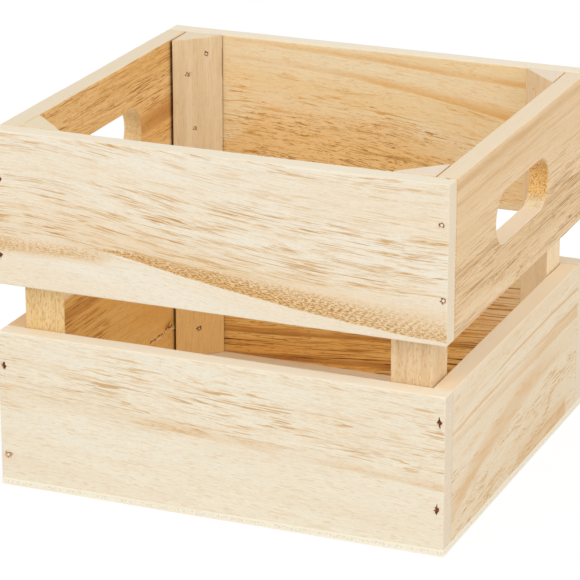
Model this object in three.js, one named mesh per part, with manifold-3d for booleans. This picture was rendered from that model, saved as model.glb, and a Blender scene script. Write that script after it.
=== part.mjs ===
// Small slatted wooden crate: eight boards in two rings round four three-cornered posts, nailed
// at the corners, on a thin plywood base. The two short upper boards each have a hand slot.
// Millimetres, +Z up. The origin is the middle of the underside, and the front faces -Y.
import * as THREE from "three";
import { mergeVertices } from "three/addons/utils/BufferGeometryUtils.js";
import Module from "manifold-3d";

const wasm = await Module();
wasm.setup();

// Outside of the crate
const CRATE_WIDTH = 200;
const CRATE_DEPTH = 184;

// Boards
const BOARD_THICKNESS = 8.8;
const LOWER_BOARD_HEIGHT = 66;
const UPPER_BOARD_HEIGHT = 67;
const BOARD_GAP = 21.3; // open slot between the two rings of boards
const BOARD_EASE = 0.8; // rounding of the edges round both faces
const BOARD_CORNER_RADIUS = 1.2; // rounding of the outline's corners

// Hand slot, in the middle of the short upper boards
const HAND_SLOT_LENGTH = 68;
const HAND_SLOT_HEIGHT = 23;

// Corner posts, a right-angled triangle in section
const POST_LEG = 19.1;
const POST_CORNER_RADIUS = 0.5;
const POST_EASE = 0.4;
const POST_SIDE_GAP = 0.4; // the posts stand a little off the short boards

// Base panel
const BASE_THICKNESS = 3;
const BASE_EASE = 0.3;
const BASE_CORNER_RADIUS = 1;

// Joint between two pieces of wood
const JOINT_GAP = 0.3;

// Nails through the long boards into the ends of the short ones
const NAIL_LENGTH = 25;
const NAIL_SHANK_RADIUS = 0.6;
const NAIL_HEAD_RADIUS = 1;
const NAIL_FROM_END = 3.2;
const LOWER_HIGH_NAIL_FROM_END = 2.6;
const UPPER_LOW_NAIL_FROM_END = 2;
const UPPER_NAIL_BELOW_TOP = 16.8;
const UPPER_NAIL_ABOVE_BOTTOM = 19.1;
const LOWER_NAIL_BELOW_TOP = 11.2;
const LOWER_NAIL_ABOVE_BOTTOM = 16.9;
const LEFT_HIGH_NAIL_DROP = 3.9; // the nails at a board's left end sit lower, seen from outside
const LEFT_LOW_NAIL_DROP = 6.5;

// Brads through the slanted face of each post, staggered from side to side
const POST_BRAD_LENGTH = 14;
const POST_BRAD_STAGGER = 4.7;
const UPPER_BRAD_HIGH = 8.2; // these four are measured down from the board's top edge
const UPPER_BRAD_MIDDLE = 17;
const UPPER_BRAD_LOW = 42.8;
const LOWER_BRAD_HIGH = 22;
const LOWER_BRAD_ABOVE_BOTTOM = 13.4;

// Brads through the base into the bottom edges of the lower boards
const BASE_BRAD_LENGTH = 14;
const BASE_BRAD_FROM_POST = 14;

// What all brads share, and how every fastener sits in the wood
const BRAD_SHANK_RADIUS = 0.5;
const BRAD_HEAD_RADIUS = 0.75;
const HEAD_THICKNESS = 0.6;
const POINT_LENGTH = 1.6;
const HEAD_SET_DEPTH = 0.5; // heads are driven below the surface
const FASTENER_CLEARANCE = 0.3;

// Facets, where an arc has two for each step
const CORNER_STEPS = 1;
const SLOT_END_STEPS = 6;
const EASE_STEPS = 2;
const FASTENER_SIDES = 8;

const LOWER_BOTTOM = BASE_THICKNESS + JOINT_GAP;
const LOWER_TOP = LOWER_BOTTOM + LOWER_BOARD_HEIGHT;
const UPPER_BOTTOM = LOWER_TOP + BOARD_GAP;
const RIM = UPPER_BOTTOM + UPPER_BOARD_HEIGHT;
const SHORT_BOARD_LENGTH = CRATE_DEPTH - 2 * (BOARD_THICKNESS + JOINT_GAP);

const FINISHES = {
  board: { color: 0xeedcb9, roughness: 0.72, metalness: 0 },
  post: { color: 0xdcbd90, roughness: 0.75, metalness: 0 },
  base: { color: 0xe6d6b4, roughness: 0.78, metalness: 0 },
  steel: { color: 0x7d6248, roughness: 0.5, metalness: 0.8 },
};

// The two rings of boards, with the places of the nails at each end of a long board
const RINGS = {
  lower: {
    bottom: LOWER_BOTTOM,
    height: LOWER_BOARD_HEIGHT,
    nails: {
      high: {
        height: LOWER_TOP - LOWER_NAIL_BELOW_TOP,
        fromEnd: LOWER_HIGH_NAIL_FROM_END,
        leftDrop: LEFT_HIGH_NAIL_DROP,
      },
      low: {
        height: LOWER_BOTTOM + LOWER_NAIL_ABOVE_BOTTOM,
        fromEnd: NAIL_FROM_END,
        leftDrop: LEFT_LOW_NAIL_DROP,
      },
    },
  },
  upper: {
    bottom: UPPER_BOTTOM,
    height: UPPER_BOARD_HEIGHT,
    nails: {
      high: {
        height: RIM - UPPER_NAIL_BELOW_TOP,
        fromEnd: NAIL_FROM_END,
        leftDrop: LEFT_HIGH_NAIL_DROP,
      },
      low: {
        height: UPPER_BOTTOM + UPPER_NAIL_ABOVE_BOTTOM,
        fromEnd: UPPER_LOW_NAIL_FROM_END,
        leftDrop: LEFT_LOW_NAIL_DROP,
      },
    },
  },
};

// The four walls: the turn from the front wall, and whether the wall is a long one
const WALLS = {
  front: { turn: 0, long: true },
  right: { turn: Math.PI / 2, long: false },
  back: { turn: Math.PI, long: true },
  left: { turn: -Math.PI / 2, long: false },
};

// The four posts: the side of the crate in X and Y, and the turn from the front left post
const CORNERS = {
  front_left: { x: -1, y: -1, turn: 0 },
  front_right: { x: 1, y: -1, turn: Math.PI / 2 },
  back_right: { x: 1, y: 1, turn: Math.PI },
  back_left: { x: -1, y: 1, turn: -Math.PI / 2 },
};

// The brads of one post: height, and the side of the slanted face, +1 towards the long board
const POST_BRADS = [
  { height: RIM - UPPER_BRAD_HIGH, side: 1 },
  { height: RIM - UPPER_BRAD_MIDDLE, side: -1 },
  { height: RIM - UPPER_BRAD_LOW, side: -0.3 },
  { height: LOWER_TOP - LOWER_BRAD_HIGH, side: 1 },
  { height: LOWER_BOTTOM + LOWER_BRAD_ABOVE_BOTTOM, side: 0 },
];

const crate = new THREE.Group();
const woodPieces = [];
const fastenerHoles = [];

// A closed geometry as a solid that can be cut.
function solidFrom(geometry) {
  const bare = geometry.clone();
  bare.deleteAttribute("normal");
  bare.deleteAttribute("uv");
  const merged = mergeVertices(bare);
  return new wasm.Manifold(
    new wasm.Mesh({
      numProp: 3,
      vertProperties: merged.attributes.position.array,
      triVerts: new Uint32Array(merged.index.array),
    }),
  );
}

// A solid's surface as a geometry.
function geometryFrom(solid) {
  const { vertProperties, triVerts } = solid.getMesh();
  const geometry = new THREE.BufferGeometry();
  geometry.setAttribute("position", new THREE.BufferAttribute(vertProperties, 3));
  geometry.setIndex(new THREE.BufferAttribute(triVerts, 1));
  geometry.computeVertexNormals();
  return geometry;
}

// An outline with straight sides and rounded corners, its corners listed anticlockwise.
function roundedOutline(corners, radius) {
  const outline = new THREE.Shape();
  corners.forEach((corner, i) => {
    const before = corners.at(i - 1).clone().sub(corner).normalize();
    const after = corners[(i + 1) % corners.length].clone().sub(corner).normalize();
    const inwards = before.clone().add(after).normalize();
    const halfAngle = before.angleTo(after) / 2;
    const centre = corner.clone().addScaledVector(inwards, radius / Math.sin(halfAngle));
    const startAngle = Math.atan2(before.x, -before.y);
    const endAngle = Math.atan2(-after.x, after.y);
    outline.absarc(centre.x, centre.y, radius, startAngle, endAngle, false);
  });
  outline.closePath();
  return outline;
}

// A rectangle about the origin with rounded corners.
function rectangleOutline(length, height, radius) {
  const x = length / 2;
  const y = height / 2;
  const corners = [
    new THREE.Vector2(-x, -y),
    new THREE.Vector2(x, -y),
    new THREE.Vector2(x, y),
    new THREE.Vector2(-x, y),
  ];
  return roundedOutline(corners, radius);
}

// An outline extruded to a thickness, centred on it, with its edges rounded inside that outline.
function easedPlate(outline, thickness, ease, curveSegments) {
  const geometry = new THREE.ExtrudeGeometry(outline, {
    depth: thickness - 2 * ease,
    bevelEnabled: true,
    bevelThickness: ease,
    bevelSize: ease,
    bevelOffset: -ease,
    bevelSegments: EASE_STEPS,
    curveSegments,
  });
  return geometry.translate(0, 0, ease - thickness / 2);
}

// The hand slot's outline: a straight slot with half-round ends.
function handSlotOutline() {
  const radius = HAND_SLOT_HEIGHT / 2;
  const reach = HAND_SLOT_LENGTH / 2 - radius;
  const slot = new THREE.Path();
  slot.absarc(reach, 0, radius, -Math.PI / 2, Math.PI / 2, false);
  slot.absarc(-reach, 0, radius, Math.PI / 2, (3 * Math.PI) / 2, false);
  slot.closePath();
  return slot;
}

// A named piece with a finish of its own.
function makePiece(name, geometry, finish) {
  const piece = new THREE.Mesh(geometry, new THREE.MeshStandardMaterial(FINISHES[finish]));
  piece.name = name;
  return piece;
}

// One board of a wall, its outer face towards -Y of the wall's group.
function addBoard(wallName, wall, ringName, ring, group) {
  const length = wall.long ? CRATE_WIDTH : SHORT_BOARD_LENGTH;
  const outside = (wall.long ? CRATE_DEPTH : CRATE_WIDTH) / 2;
  const hasHandSlot = !wall.long && ringName === "upper";
  const outline = rectangleOutline(length, ring.height, BOARD_CORNER_RADIUS);
  if (hasHandSlot) outline.holes.push(handSlotOutline());
  const curveSegments = hasHandSlot ? SLOT_END_STEPS : CORNER_STEPS;
  const geometry = easedPlate(outline, BOARD_THICKNESS, BOARD_EASE, curveSegments);
  const board = makePiece(`${wallName}_${ringName}_board`, geometry, "board");
  board.rotation.x = Math.PI / 2;
  board.position.set(0, BOARD_THICKNESS / 2 - outside, ring.bottom + ring.height / 2);
  group.add(board);
  woodPieces.push(board);
}

// A corner post, its right angle in the corner of the crate and its slanted face inwards.
function addPost(name, group) {
  const corners = [
    new THREE.Vector2(0, 0),
    new THREE.Vector2(POST_LEG, 0),
    new THREE.Vector2(0, POST_LEG),
  ];
  const height = RIM - LOWER_BOTTOM;
  const outline = roundedOutline(corners, POST_CORNER_RADIUS);
  const geometry = easedPlate(outline, height, POST_EASE, CORNER_STEPS);
  const post = makePiece(`${name}_post`, geometry, "post");
  post.position.z = LOWER_BOTTOM + height / 2;
  group.add(post);
  woodPieces.push(post);
}

// The plywood base under all the boards.
function addBase() {
  const outline = rectangleOutline(CRATE_WIDTH, CRATE_DEPTH, BASE_CORNER_RADIUS);
  const geometry = easedPlate(outline, BASE_THICKNESS, BASE_EASE, CORNER_STEPS);
  const base = makePiece("base_panel", geometry, "base");
  base.position.z = BASE_THICKNESS / 2;
  crate.add(base);
  woodPieces.push(base);
}

// A nail or brad along +Y with its head's top at the origin, larger all round by a clearance.
function fastenerGeometry(size, clearance, mouth) {
  const headRadius = size.headRadius + clearance;
  const shankRadius = size.shankRadius + clearance;
  const profile = [
    new THREE.Vector2(0, -mouth),
    new THREE.Vector2(headRadius, -mouth),
    new THREE.Vector2(headRadius, HEAD_THICKNESS + clearance),
    new THREE.Vector2(shankRadius, HEAD_THICKNESS + clearance),
    new THREE.Vector2(shankRadius, size.length - POINT_LENGTH + clearance),
    new THREE.Vector2(0, size.length + clearance),
  ];
  return new THREE.LatheGeometry(profile, FASTENER_SIDES);
}

// A fastener driven into the wood at a point of its surface, and the hole that it sits in.
function addFastener(name, size, surfacePoint, direction, group) {
  const fastener = makePiece(name, fastenerGeometry(size, 0, 0), "steel");
  fastener.quaternion.setFromUnitVectors(new THREE.Vector3(0, 1, 0), direction);
  fastener.position.copy(surfacePoint).addScaledVector(direction, HEAD_SET_DEPTH);
  group.add(fastener);
  const mouth = HEAD_SET_DEPTH + FASTENER_CLEARANCE;
  const hole = fastenerGeometry(size, FASTENER_CLEARANCE, mouth);
  fastener.updateWorldMatrix(true, false);
  fastenerHoles.push(hole.applyMatrix4(fastener.matrixWorld));
}

// Two nails through each end of a long board, into the end of the short board behind it.
function addBoardNails(wallName, ringName, ring, group) {
  const size = {
    length: NAIL_LENGTH,
    shankRadius: NAIL_SHANK_RADIUS,
    headRadius: NAIL_HEAD_RADIUS,
  };
  const inwards = new THREE.Vector3(0, 1, 0);
  for (const end of [-1, 1]) {
    const endName = end * (wallName === "front" ? 1 : -1) < 0 ? "left" : "right";
    for (const [place, nail] of Object.entries(ring.nails)) {
      const across = CRATE_WIDTH / 2 - nail.fromEnd;
      const height = nail.height - (end < 0 ? nail.leftDrop : 0);
      const point = new THREE.Vector3(end * across, -CRATE_DEPTH / 2, height);
      addFastener(`nail_${wallName}_${ringName}_${endName}_${place}`, size, point, inwards, group);
    }
  }
}

// The brads through a post's slanted face, square to it.
function addPostBrads(name, longBoardAlongX, group) {
  const size = {
    length: POST_BRAD_LENGTH,
    shankRadius: BRAD_SHANK_RADIUS,
    headRadius: BRAD_HEAD_RADIUS,
  };
  const inwards = new THREE.Vector3(-1, -1, 0).normalize();
  const alongFace = new THREE.Vector3(1, -1, 0).normalize();
  if (!longBoardAlongX) alongFace.negate();
  POST_BRADS.forEach(({ height, side }, i) => {
    const point = new THREE.Vector3(POST_LEG / 2, POST_LEG / 2, height);
    point.addScaledVector(alongFace, side * POST_BRAD_STAGGER);
    addFastener(`brad_${name}_post_${i + 1}`, size, point, inwards, group);
  });
}

// Two brads up through the base into the bottom edge of a wall's lower board.
function addBaseBrads(wallName, wall, group) {
  const size = {
    length: BASE_BRAD_LENGTH,
    shankRadius: BRAD_SHANK_RADIUS,
    headRadius: BRAD_HEAD_RADIUS,
  };
  const wallSpan = wall.long ? CRATE_WIDTH : CRATE_DEPTH;
  const outside = (wall.long ? CRATE_DEPTH : CRATE_WIDTH) / 2;
  const postEnd = BOARD_THICKNESS + POST_SIDE_GAP + POST_LEG;
  const along = wallSpan / 2 - postEnd - BASE_BRAD_FROM_POST;
  const upwards = new THREE.Vector3(0, 0, 1);
  [-1, 1].forEach((end, i) => {
    const point = new THREE.Vector3(end * along, BOARD_THICKNESS / 2 - outside, 0);
    addFastener(`brad_base_${wallName}_${i + 1}`, size, point, upwards, group);
  });
}

// Cuts every fastener's hole out of the pieces of wood that it reaches.
function drillPieces() {
  for (const piece of woodPieces) {
    piece.updateWorldMatrix(true, false);
    const toPiece = piece.matrixWorld.clone().invert();
    const reach = new THREE.Box3().setFromObject(piece);
    let solid = solidFrom(piece.geometry);
    for (const hole of fastenerHoles) {
      hole.computeBoundingBox();
      if (!reach.intersectsBox(hole.boundingBox)) continue;
      solid = solid.subtract(solidFrom(hole.clone().applyMatrix4(toPiece)));
    }
    piece.geometry = geometryFrom(solid);
  }
}

for (const [wallName, wall] of Object.entries(WALLS)) {
  const group = new THREE.Group();
  group.rotation.z = wall.turn;
  crate.add(group);
  for (const [ringName, ring] of Object.entries(RINGS)) {
    addBoard(wallName, wall, ringName, ring, group);
    if (wall.long) addBoardNails(wallName, ringName, ring, group);
  }
  addBaseBrads(wallName, wall, group);
}

for (const [name, corner] of Object.entries(CORNERS)) {
  const group = new THREE.Group();
  const fromMiddleX = CRATE_WIDTH / 2 - BOARD_THICKNESS - POST_SIDE_GAP;
  const fromMiddleY = CRATE_DEPTH / 2 - BOARD_THICKNESS - JOINT_GAP;
  group.position.set(corner.x * fromMiddleX, corner.y * fromMiddleY, 0);
  group.rotation.z = corner.turn;
  crate.add(group);
  addPost(name, group);
  addPostBrads(name, corner.x * corner.y > 0, group);
}

addBase();
drillPieces();

export default crate;
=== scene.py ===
"""Small slatted wooden crate: the finish of its boards, posts, base and nails.

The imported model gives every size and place. Each piece of wood is remade with soft worn edges, nail
pits and torn fibres, and each board has a grain of its own.
Metres, +Z up, with the front of the crate towards -Y. Grain is measured in millimetres: along the
board from the crate's low end, down from the board's top edge, and through its thickness.
"""

import logging
import math
from dataclasses import dataclass, field
from enum import Enum

import bmesh
import bpy
from mathutils import Matrix, Vector, noise


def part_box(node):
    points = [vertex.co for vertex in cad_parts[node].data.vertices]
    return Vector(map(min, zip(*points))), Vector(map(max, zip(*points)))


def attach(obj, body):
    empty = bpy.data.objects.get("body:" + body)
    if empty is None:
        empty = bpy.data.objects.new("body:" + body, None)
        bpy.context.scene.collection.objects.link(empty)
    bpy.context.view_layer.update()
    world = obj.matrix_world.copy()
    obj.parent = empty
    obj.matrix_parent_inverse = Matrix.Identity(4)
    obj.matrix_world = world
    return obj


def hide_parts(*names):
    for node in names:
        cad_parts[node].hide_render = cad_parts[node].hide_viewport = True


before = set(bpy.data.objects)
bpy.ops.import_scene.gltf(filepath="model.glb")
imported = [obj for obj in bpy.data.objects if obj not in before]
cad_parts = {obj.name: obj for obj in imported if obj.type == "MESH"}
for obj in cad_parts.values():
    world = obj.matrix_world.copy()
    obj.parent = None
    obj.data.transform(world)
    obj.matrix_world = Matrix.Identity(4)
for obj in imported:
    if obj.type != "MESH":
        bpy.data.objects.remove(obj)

log = logging.getLogger("crate")

MM = 0.001
BODY = "root"
NOISE_SEED = 7
NAIL_HEAD = 0.95 * MM
BRAD_HEAD = 0.75 * MM
SMOOTH_ANGLE = math.radians(38)
SPAN = 200.0

Colour = tuple[int, int, int]
Points = tuple[tuple[float, float], ...]
Socket = bpy.types.NodeSocket
Value = float | Socket
Mesh = bmesh.types.BMesh
Material = bpy.types.Material
Piece = bpy.types.Object


class Grain(Enum):
    """The axis that a piece's fibres run along."""

    X = 0
    Y = 1
    Z = 2


class Slot(Enum):
    """The record's material slots."""

    BOARD = "board_wood"
    POST = "post_wood"
    BASE = "base_plywood"
    STEEL = "nail_steel"


def linear(colour: Colour) -> tuple[float, float, float, float]:
    """Turns a screen colour into the linear one that shaders take.

    Args:
        colour: Red, green and blue from 0 to 255.

    Returns:
        Linear red, green, blue and an alpha of 1.
    """
    channels = [c / 255 for c in colour]
    toned = [c / 12.92 if c <= 0.04045 else ((c + 0.055) / 1.055) ** 2.4 for c in channels]
    return (*toned, 1.0)


def even(level: float) -> Points:
    """A curve along a board that stays at one level."""
    return ((0.0, level), (SPAN, level))


def extrude(bm: Mesh, faces: list[bmesh.types.BMFace], height: float) -> None:
    """Extrudes faces straight up.

    Args:
        bm: Their mesh.
        faces: The faces.
        height: How far up.
    """
    grown = bmesh.ops.extrude_face_region(bm, geom=faces)
    top = [v for v in grown["geom"] if isinstance(v, bmesh.types.BMVert)]
    bmesh.ops.translate(bm, verts=top, vec=(0, 0, height))


def add_piece(name: str, bm: Mesh, material: Material, node: str = "") -> Piece:
    """Turns a mesh into a piece that rides on the crate.

    Args:
        name: The piece's name.
        bm: Its finished mesh.
        material: Its material.
        node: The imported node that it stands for, if there is one.

    Returns:
        The new object.
    """
    mesh = bpy.data.meshes.new(name)
    bm.to_mesh(mesh)
    bm.free()
    mesh.shade_smooth()
    mesh.set_sharp_from_angle(angle=SMOOTH_ANGLE)
    mesh.materials.append(material)
    piece = bpy.data.objects.new(name, mesh)
    bpy.context.scene.collection.objects.link(piece)
    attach(piece, BODY)
    if node:
        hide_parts(node)
    log.info("%s: %d faces", name, len(mesh.polygons))
    return piece


class Graph:
    """A material's node tree, with short ways to add the nodes that wood and steel need."""

    SEED_STEP = (7.3, 3.1, 5.7)

    def __init__(self, name: str) -> None:
        """Starts a material with a plain shader.

        Args:
            name: The material's name.
        """
        self.material = bpy.data.materials.new(name)
        self.material.use_nodes = True
        self.tree = self.material.node_tree
        self.tree.nodes.clear()
        self.shader = self.node("ShaderNodeBsdfPrincipled")
        self.surface = self.node("ShaderNodeOutputMaterial").inputs["Surface"]
        self.feed(self.surface, self.shader.outputs[0])

    def node(self, kind: str, **settings: object) -> bpy.types.Node:
        """Adds a node.

        Args:
            kind: The node's type name.
            **settings: Properties to set on it.

        Returns:
            The new node.
        """
        made = self.tree.nodes.new(kind)
        for key, value in settings.items():
            setattr(made, key, value)
        return made

    def feed(self, socket: Socket, value: object) -> None:
        """Links a socket to another one, or sets its value.

        Args:
            socket: The input to feed.
            value: A socket to link, or a plain value.
        """
        if isinstance(value, bpy.types.NodeSocket):
            self.tree.links.new(value, socket)
        else:
            socket.default_value = value

    def math(self, operation: str, first: Value, second: Value = 0.0, third: Value = 0.0) -> Socket:
        """Adds a Math node.

        Args:
            operation: Its operation.
            first: The first number or socket.
            second: The second number or socket.
            third: The third number or socket.

        Returns:
            The result's socket.
        """
        made = self.node("ShaderNodeMath", operation=operation)
        for socket, value in zip(made.inputs, (first, second, third)):
            self.feed(socket, value)
        return made.outputs[0]

    def product(self, *values: Value) -> Socket:
        """Multiplies two or more values.

        Args:
            *values: Numbers or sockets.

        Returns:
            The product's socket.
        """
        result = values[0]
        for value in values[1:]:
            result = self.math("MULTIPLY", result, value)
        return result

    def ramp(self, value: Value, start: Value, end: Value, low: float = 0.0, high: float = 1.0) -> Socket:
        """Maps a range smoothly to another, and holds its ends.

        Args:
            value: What is mapped.
            start: The value that gives low.
            end: The value that gives high.
            low: The first end of the result.
            high: The other end of the result.

        Returns:
            The result's socket.
        """
        made = self.node("ShaderNodeMapRange", interpolation_type="SMOOTHSTEP")
        for socket, given in zip(made.inputs, (value, start, end, low, high)):
            self.feed(socket, given)
        return made.outputs[0]

    def curve(self, value: Value, span: float, points: Points, height: float) -> Socket:
        """A smooth curve through points.

        Args:
            value: Where on the curve, in the points' own units.
            span: The largest place on the curve.
            points: Place and height of each point.
            height: The largest height of the curve.

        Returns:
            The height's socket.
        """
        made = self.node("ShaderNodeFloatCurve")
        line = made.mapping.curves[0].points
        for point, (place, level) in zip(line, (points[0], points[-1])):
            point.location = (place / span, level / height)
        for place, level in points[1:-1]:
            line.new(place / span, level / height)
        made.mapping.update()
        self.feed(made.inputs["Value"], self.math("DIVIDE", value, span))
        return self.math("MULTIPLY", made.outputs[0], height)

    def noise(self, place: Socket, size: tuple[float, float, float], seed: float,
              detail: float = 2.0, roughness: float = 0.5) -> Socket:
        """Noise with lumps of a given size.

        Args:
            place: The point, in millimetres.
            size: The lumps' size along, across and through the grain.
            seed: Which part of the noise to use.
            detail: How many finer layers it has.
            roughness: How strong those are.

        Returns:
            The noise's socket, about 0.5 on average.
        """
        spread = self.node("ShaderNodeVectorMath", operation="MULTIPLY_ADD")
        self.feed(spread.inputs[0], place)
        spread.inputs[1].default_value = [1 / length for length in size]
        spread.inputs[2].default_value = [seed * step for step in self.SEED_STEP]
        made = self.node("ShaderNodeTexNoise")
        self.feed(made.inputs["Vector"], spread.outputs[0])
        made.inputs["Scale"].default_value = 1.0
        made.inputs["Detail"].default_value = detail
        made.inputs["Roughness"].default_value = roughness
        return made.outputs[0]

    def mix(self, share: Value, first: Colour | Socket, second: Colour | Socket,
            blend: str = "MIX") -> Socket:
        """Mixes two colours.

        Args:
            share: How much of the second colour shows.
            first: A screen colour or a socket.
            second: A screen colour or a socket.
            blend: How they mix.

        Returns:
            The colour's socket.
        """
        made = self.node("ShaderNodeMix", data_type="RGBA", blend_type=blend)
        for i, value in ((0, share), (6, first), (7, second)):
            self.feed(made.inputs[i], linear(value) if isinstance(value, tuple) else value)
        return made.outputs[2]

    def point(self) -> Socket:
        """The point on the piece, in millimetres.

        Returns:
            The point's socket.
        """
        made = self.node("ShaderNodeVectorMath", operation="SCALE")
        self.feed(made.inputs[0], self.node("ShaderNodeTexCoord").outputs["Object"])
        made.inputs["Scale"].default_value = 1 / MM
        return made.outputs[0]

    def parts(self, vector: Socket) -> bpy.types.NodeOutputs:
        """A vector's three parts.

        Args:
            vector: The vector's socket.

        Returns:
            Their sockets.
        """
        made = self.node("ShaderNodeSeparateXYZ")
        self.feed(made.inputs[0], vector)
        return made.outputs

    def facing(self, axis: Grain) -> Socket:
        """How squarely the surface faces along an axis, from 0 to 1."""
        normal = self.node("ShaderNodeTexCoord").outputs["Normal"]
        return self.math("ABSOLUTE", self.parts(normal)[axis.value])

    def attribute(self, name: str) -> Socket:
        """The value of a mesh attribute."""
        return self.node("ShaderNodeAttribute", attribute_name=name).outputs["Fac"]

    def apply_stain_and_shade(self, colour: Socket, thin: Colour, thick: Colour) -> Socket:
        """Darkens a colour by the mesh's layer of real stain and painted shade, more golden where that
        layer is thin.

        Args:
            colour: The clean colour.
            thin: What a thin layer of stain and painted shade turns it to.
            thick: What a thick layer of stain and painted shade turns it to.

        Returns:
            The colour's socket.
        """
        stain_and_shade = self.attribute("stain_and_shade")
        colour = self.mix(self.ramp(stain_and_shade, 0.0, 0.5, 0.0, 0.85), colour, thin)
        return self.mix(self.ramp(stain_and_shade, 0.2, 1.0, 0.0, 0.95), colour, thick)

    def coat(self, colour: Socket, rough: Value, relief: Socket, depth: float) -> Material:
        """Gives the shader its colour, roughness and fine relief.

        Args:
            colour: The colour.
            rough: The roughness, from 0 to 1.
            relief: The relief, from 0 to 1.
            depth: The relief's depth in metres.

        Returns:
            The finished material.
        """
        made = self.node("ShaderNodeBump")
        made.inputs["Distance"].default_value = depth
        self.feed(made.inputs["Height"], relief)
        self.feed(self.shader.inputs["Normal"], made.outputs[0])
        self.feed(self.shader.inputs["Base Color"], colour)
        self.feed(self.shader.inputs["Roughness"], rough)
        return self.material


@dataclass(frozen=True)
class Band:
    """A growth ring's dark band on a board's face, sharp below and fading upwards.

    Attributes:
        edge: The sharp edge, as millimetres along the board and below its top.
        strength: How strong the band is along the board, from 0 to 1.
        fade: How far up it fades along the board, in millimetres.
        sharp: How far below the edge it ends, in millimetres.
        stipple: How dark the fine dots in it are, from 0 to 1.
        patchy: How broken up it is, from 0 to 1.
    """

    edge: Points
    strength: Points
    fade: Points
    sharp: float = 0.7
    stipple: float = 0.5
    patchy: float = 0.5


@dataclass(frozen=True)
class Pores:
    """Open pores that show as thin lines along the grain, thickest in lens-shaped patches.

    Attributes:
        stroke: Length and height of one line, in millimetres.
        cluster: Length and height of a patch of them, in millimetres.
        share: Noise level above which a patch begins, about 0.5.
        strength: How dark the lines are, from 0 to 1.
        tint: How far the wood in a patch is tinted, from 0 to 1.
        down: How many there are from the board's top down, from 0 to 1.
        along: How many there are along the board, from 0 to 1.
    """

    stroke: tuple[float, float]
    cluster: tuple[float, float]
    share: float
    strength: float
    tint: float
    down: Points
    along: Points = even(1.0)


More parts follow.
